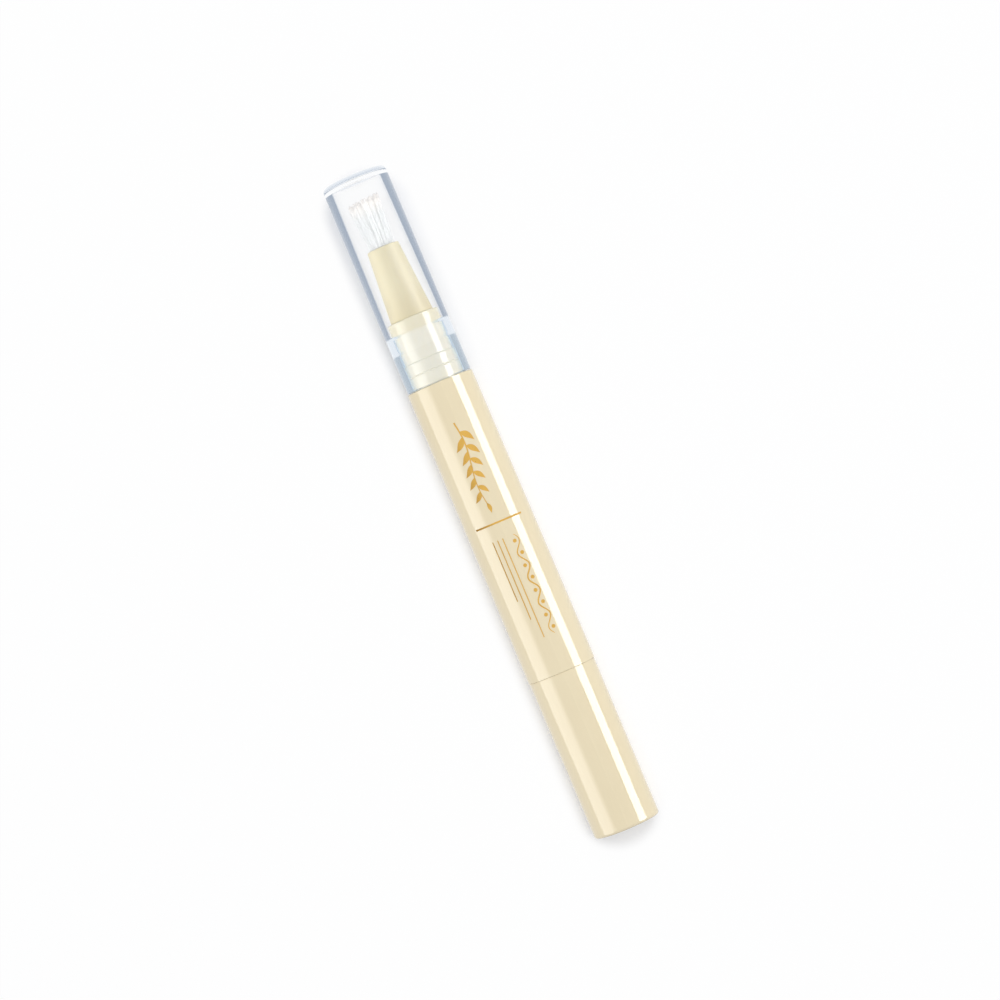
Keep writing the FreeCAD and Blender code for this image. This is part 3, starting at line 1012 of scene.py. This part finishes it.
@dataclass
class Brush:
    """The tuft of loose nylon filaments in the nozzle's mouth. Sizes in millimetres."""

    axis: PenAxis
    heel_station: float = 120.5
    mouth_station: float = 126.9
    tip_station: float = 137.35
    warm_stations: Span = (133.5, 137.6)
    core_radius: float = 0.95
    heel_radius: float = 2.62
    tip_radius: float = 3.58
    filaments: int = 330
    heel_scatter: float = 0.2
    clumps: int = 12
    clump_reach: float = 0.93
    clump_start: float = 0.6
    clump_scatter: float = 0.25
    gather: Span = (0.12, 0.45)
    stray: float = 0.07
    flare: float = 1.15
    thickness: Span = (0.105, 0.15)
    taper: float = 0.35
    taper_start: float = 0.8
    sides: int = 5
    rows: int = 10
    cut_slant: float = 0.25
    cut_spread: float = 0.35
    seed: int = 7

    def spots(self, chance: random.Random) -> list[Span]:
        """Spreads the filaments' heels over the mouth.

        Args:
            chance: the seeded source of chance.

        Returns:
            Each heel's distance from the axis and its angle.
        """
        low, high = self.core_radius**2, self.heel_radius**2
        found = []
        for k in range(self.filaments):
            radius = math.sqrt(low + (high - low) * (k + 0.5) / self.filaments)
            found.append((radius, GOLDEN_ANGLE * k + chance.uniform(-self.heel_scatter, self.heel_scatter)))
        return found

    def clump_centres(self, chance: random.Random) -> list[Vector]:
        """Picks where the tips gather into clumps.

        Args:
            chance: the seeded source of chance.

        Returns:
            Points across the tip, in millimetres from the axis.
        """
        centres = []
        for k in range(self.clumps):
            radius = self.tip_radius * self.clump_reach * math.sqrt((k + self.clump_start) / self.clumps)
            angle = GOLDEN_ANGLE * k + chance.uniform(-self.clump_scatter, self.clump_scatter)
            centres.append(Vector((radius * math.sin(angle), radius * math.cos(angle))))
        return centres

    def build(self) -> Piece:
        """Draws every filament and joins them into one tuft.

        Returns:
            The brush's object, which stands for the CAD tuft.
        """
        chance = random.Random(self.seed)
        centres = self.clump_centres(chance)
        verts: list[Vector] = []
        faces: list[Face] = []
        for radius, angle in self.spots(chance):
            heel = Vector((radius * math.sin(angle), radius * math.cos(angle)))
            spread = heel * (self.tip_radius / self.heel_radius)
            clump = min(centres, key=lambda c: (c - spread).length)
            tip = spread.lerp(clump, chance.uniform(*self.gather))
            cut = self.tip_station + self.cut_slant * tip.x / self.tip_radius
            end = cut - abs(chance.gauss(0.0, self.cut_spread))
            bend = Vector((chance.gauss(0.0, self.stray), chance.gauss(0.0, self.stray)))
            self.strand(verts, faces, heel, tip, bend, end, chance.uniform(*self.thickness) / 2)
        mesh = bpy.data.meshes.new("brush_filaments")
        mesh.from_pydata(verts, [], faces)
        mesh.shade_smooth()
        # drawn nylon 6.6 filament, cut straight: milky streaks that let light through, warmer at the tips
        warm = tuple(self.axis.x(station) for station in self.warm_stations)
        mesh.materials.append(Filament("drawn_nylon_filament", "#FCFCFB", tip_x=warm).build())
        brush = link("brush_filaments", mesh)
        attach(brush, Body.BARREL.value)
        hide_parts("brush_tuft")
        return brush

    def strand(
        self,
        verts: list[Vector],
        faces: list[Face],
        heel: Vector,
        tip: Vector,
        bend: Vector,
        end: float,
        half: float,
    ) -> None:
        """Adds one filament as a thin closed tube.

        Args:
            verts: the tuft's points so far.
            faces: the tuft's faces so far.
            heel: where it leaves the heel, across the axis.
            tip: where it ends, across the axis.
            bend: how far its middle strays.
            end: the station of its cut end.
            half: half its thickness.
        """
        base = len(verts)
        for row in range(self.rows + 1):
            station = self.heel_station + (end - self.heel_station) * row / self.rows
            free = max(0.0, (station - self.mouth_station) / (end - self.mouth_station))
            middle = heel.lerp(tip, free**self.flare) + bend * math.sin(math.pi * free)
            late = max(0.0, free - self.taper_start) / (1.0 - self.taper_start)
            size = half * (1.0 - self.taper * late)
            for k in range(self.sides):
                turn = math.tau * k / self.sides
                spot = middle + Vector((size * math.sin(turn), size * math.cos(turn)))
                verts.append(self.axis.point(station, spot.length, math.atan2(spot.x, spot.y)))
        for row in range(self.rows):
            for k in range(self.sides):
                here = base + row * self.sides
                after = (k + 1) % self.sides
                faces.append((here + k, here + after, here + self.sides + after, here + self.sides + k))
        faces.append(tuple(base + k for k in reversed(range(self.sides))))
        faces.append(tuple(base + self.rows * self.sides + k for k in range(self.sides)))


@dataclass
class Front:
    """The neck and the nozzle in front of the barrel, and what is hidden in them. Sizes in millimetres."""

    axis: PenAxis
    ring_start: float = 108.4
    ring_end: float = 109.0
    cone_middle: float = 118.5
    cone_foot: float = 112.0

    def build(self, frame: dict) -> None:
        """Dresses the pieces.
        """
        # natural polypropylene, tooled mould: milky white, soft-edged, creamier where cream plastic backs it
        neck = GradedMoulding(
            "natural_polypropylene_neck", "#DFDAC8", cloud="#E2DDCC", polish=Polish.TOOLED, ior=1.49,
            cloud_mm=4.0, grain_mm=0.5, depth_mm=1.2, glow=0.35, backed="#E2D9BD",
            backed_x=(self.axis.x(self.ring_start), self.axis.x(self.ring_end)),
        )
        dress(frame, ["neck"], neck.build())
        # cream polypropylene, satin mould: soft, wide light, no sharp reflection, deeper at its thick foot
        nozzle = GradedMoulding(
            "satin_polypropylene_cream", "#DACEAA", cloud="#DDD2B0", polish=Polish.SPARKED, ior=1.49,
            cloud_mm=6.0, grain_mm=0.22, grain_height_mm=0.003, depth_mm=0.8, glow=0.25, backed="#D2C5A0",
            backed_x=(self.axis.x(self.cone_middle), self.axis.x(self.cone_foot)),
        )
        dress(frame, ["nozzle"], nozzle.build())
        # natural polypropylene inside the pen: milky and smooth
        inner = Moulding(
            "natural_polypropylene", "#E8E9E3", cloud="#ECEDE8", polish=Polish.TOOLED, ior=1.49,
            cloud_mm=5.0, depth_mm=1.0, glow=0.3,
        )
        dress(frame, ["reservoir", "brush_retainer"], inner.build())
        # nitrile rubber: dull black with the fine grain of its mould
        seal = Moulding(
            "moulded_nitrile_rubber", "#262728", cloud="#303132", polish=Polish.SPARKED, ior=1.52,
            cloud_mm=1.5, grain_mm=0.12, grain_height_mm=0.004,
        )
        dress(frame, ["neck_seal"], seal.build())
        # drawn stainless tube: cool grey metal with lines along it
        dress(frame, ["feed_tube"], DrawnSteel("drawn_stainless_steel", "#C9C9C5").build())


@dataclass
class Drive:
    """The pieces behind the oil that turn the knob's turns into the piston's travel."""

    acetal: tuple[str, ...] = ("screw_rod", "thread_nut", "ratchet_ring", "click_pawl", "drive_tube")
    piston: tuple[str, ...] = ("piston",)

    def build(self, frame: dict) -> None:
        """Dresses the pieces.
        """
        # natural acetal: opaque white, hard and slippery, with a low sheen
        acetal = Moulding(
            "moulded_acetal", "#EDEAE1", cloud="#F1EEE6", polish=Polish.SATIN, ior=1.48, cloud_mm=3.0,
            grain_mm=0.3, grain_height_mm=0.001,
        )
        dress(frame, list(self.acetal), acetal.build())
        # soft polyethylene: waxy and slightly grey
        wax = Moulding(
            "moulded_polyethylene", "#DCDDD8", cloud="#E3E4DF", polish=Polish.SATIN, ior=1.51,
            cloud_mm=2.5, depth_mm=0.8, glow=0.3,
        )
        dress(frame, list(self.piston), wax.build())


@dataclass
class Studio:
    """The paper floor, the lights and the camera above the pen. Sizes in metres, angles in degrees."""

    pen: list[Piece]
    shiny: list[Piece]
    under_cap: list[Piece]
    floor_side: float = 6.0
    camera_height: float = 0.7072
    camera_spot: Span = (-0.00045, -0.00194)
    camera_turn: float = -112.93
    camera_near: float = 0.01
    lens_mm: float = 124.7
    sensor_mm: float = 36.0
    reach: float = 0.8
    ambient: float = 0.34
    sky: str = "#F1F5FF"
    top_share: float = 0.65
    top_lean: float = 8.0
    top_turn: float = 5.0
    top_size: Span = (0.50, 0.36)
    near_fill_share: float = 0.35
    far_fill_share: float = 0.39
    fill_lean: float = 75.0
    near_glow_share: float = 0.12
    far_glow_share: float = 0.30
    glow_lean: float = 80.0
    side_size: Span = (0.6, 0.3)
    strip_level: float = 9.0
    strip_lean: float = 58.5
    strip_size: Span = (1.0, 0.40)
    wash_level: float = 3.0
    wash_lean: Span = (34.0, 93.0)
    wash_soft: Span = (0.36, 0.1)
    wash_length: float = 1.2
    wash_rows: int = 24

    def floor(self) -> None:
        """Lays the paper floor under the pen."""
        mesh = bpy.data.meshes.new("paper_floor")
        half = self.floor_side / 2
        corners = [(-half, -half, 0.0), (half, -half, 0.0), (half, half, 0.0), (-half, half, 0.0)]
        mesh.from_pydata(corners, [], [(0, 1, 2, 3)])
        # uncoated white paper: it takes soft shadows and shows no shine
        mesh.materials.append(SeamlessPaper("white_studio_paper", "#FCFCFD").build())
        floor = link("paper_floor", mesh)

    def aim(self, lamp: Piece, only: list[Piece]) -> None:
        """Keeps a light to some pieces, as flags and barn doors do in a studio.

        Args:
            lamp: the light.
            only: the pieces that it reaches.
        """
        reached = bpy.data.collections.new(lamp.name + "_reaches")
        for piece in only:
            reached.objects.link(piece)
        lamp.light_linking.receiver_collection = reached

    def panel(self, name: str, lean: float, turn: float, size: Span, power: float, seen: Seen) -> Piece:
        """Hangs one flat lamp that faces the pen.

        Args:
            name: the lamp's name.
            lean: degrees from straight up, positive towards the key side.
            turn: degrees that the lamp is swung towards the cap.
            size: its length along the pen and its width across it.
            power: its power in watts.
            seen: whether it shades the pen or only shines in its gloss.

        Returns:
            The lamp's object.
        """
        lamp = bpy.data.lights.new(name, "AREA")
        lamp.shape = "RECTANGLE"
        lamp.size, lamp.size_y = size
        lamp.energy = power
        holder = link(name, lamp)
        up, out = math.cos(math.radians(lean)), -math.sin(math.radians(lean))
        heading = Vector((math.tan(math.radians(turn)), out, up)).normalized()
        across = heading.cross(Vector((1.0, 0.0, 0.0))).normalized()
        along = across.cross(heading)
        holder.matrix_world = Matrix((along, across, heading)).transposed().to_4x4()
        holder.location = heading * self.reach
        holder.visible_camera = False
        holder.visible_transmission = False
        holder.visible_glossy = seen is Seen.GLOSS
        holder.visible_diffuse = seen is Seen.SHADING
        return holder

    def shading_power(self, share: float) -> float:
        """The power that gives white paper facing the lamp this share of its full light."""
        return share * (math.pi * self.reach) ** 2

    def wash_card(self) -> Piece:
        """Hangs a curved card with soft edges that shows only in the gloss of the far side.

        Returns:
            The card's object.
        """
        rows = self.wash_rows
        low, high = self.wash_lean
        verts = []
        for i in range(rows + 1):
            angle = math.radians(low + (high - low) * i / rows)
            for x in (-self.wash_length / 2, self.wash_length / 2):
                verts.append((x, self.reach * math.sin(angle), self.reach * math.cos(angle)))
        faces = [(2 * i, 2 * i + 1, 2 * i + 3, 2 * i + 2) for i in range(rows)]
        mesh = bpy.data.meshes.new("wash_card")
        mesh.from_pydata(verts, [], faces)
        shares = mesh.attributes.new("share", "FLOAT", "POINT")
        for i in range(len(verts)):
            place = (i // 2) / rows
            edge = min(1.0, place / self.wash_soft[0], (1.0 - place) / self.wash_soft[1])
            shares.data[i].value = edge * edge * (3 - 2 * edge)
        # white silk lit from behind: a wide soft light that fades out at its edges
        mesh.materials.append(LitSilk("silk_wash_card", WHITE, level=self.wash_level).build())
        card = link("wash_card", mesh)
        card.visible_camera = False
        card.visible_diffuse = False
        card.visible_transmission = False
        card.visible_shadow = False
        return card

    def world(self) -> None:
        """Sets a soft sky for the shading and plain white for the background."""
        world = bpy.data.worlds.new("studio_sky")
        world.use_nodes = True
        tree = world.node_tree
        tree.nodes.clear()
        soft = add_node(tree, "Background", {"Color": self.sky, "Strength": self.ambient})
        white = add_node(tree, "Background", {"Color": WHITE, "Strength": 1.0})
        both = add_node(tree, "MixShader", {0: seen_as_background(tree), 1: soft, 2: white})
        add_node(tree, "OutputWorld", {"Surface": both})
        bpy.context.scene.world = world

    def camera(self) -> None:
        """Puts the camera straight above the pen."""
        data = bpy.data.cameras.new("camera_above")
        data.lens = self.lens_mm
        data.sensor_width = self.sensor_mm
        data.clip_start = self.camera_near
        holder = link("camera_above", data)
        holder.location = (*self.camera_spot, self.camera_height)
        holder.rotation_euler = (0.0, 0.0, math.radians(self.camera_turn))
        bpy.context.scene.camera = holder

    def build(self) -> None:
        """Sets up the floor, the lights, the sky and the camera."""
        self.floor()
        top_power = self.shading_power(self.top_share)
        self.panel("top_lamp", self.top_lean, self.top_turn, self.top_size, top_power, Seen.SHADING)
        # the glow lamps stand for the light that a clear wall gathers and throws on what it covers
        for name, lean, share, lit in (
            ("near_fill_lamp", self.fill_lean, self.near_fill_share, self.pen),
            ("far_fill_lamp", -self.fill_lean, self.far_fill_share, self.pen),
            ("near_glow_lamp", self.glow_lean, self.near_glow_share, self.under_cap),
            ("far_glow_lamp", -self.glow_lean, self.far_glow_share, self.under_cap),
        ):
            power = self.shading_power(share)
            self.aim(self.panel(name, lean, 0.0, self.side_size, power, Seen.SHADING), lit)
        strip_power = self.strip_level * math.pi * self.strip_size[0] * self.strip_size[1]
        strip = self.panel("strip_lamp", self.strip_lean, 0.0, self.strip_size, strip_power, Seen.GLOSS)
        self.aim(strip, self.shiny)
        self.aim(self.wash_card(), self.shiny)
        self.world()
        self.camera()
        bpy.context.scene.view_settings.view_transform = "Standard"


def main() -> None:
    """Loads the frame, builds and dresses the pen, and sets up the studio."""
    logging.basicConfig(level=logging.INFO, format="%(name)s: %(message)s")
    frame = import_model()
    axis = PenAxis.from_frame()
    foil = Sleeve(axis).build(frame)
    LOG.info("built %s", foil.name)
    Front(axis).build(frame)
    Drive().build(frame)
    brush = Brush(axis).build()
    LOG.info("built %s", brush.name)
    cap = ClearCap(axis).build()
    LOG.info("built %s", cap.name)
    moulded = [*frame["nodes"].values(), brush]
    under_cap = [frame["nodes"]["neck"], frame["nodes"]["nozzle"]]
    Studio(pen=[*moulded, foil, cap], shiny=moulded, under_cap=under_cap).build()


if __name__ == "__main__":
    main()
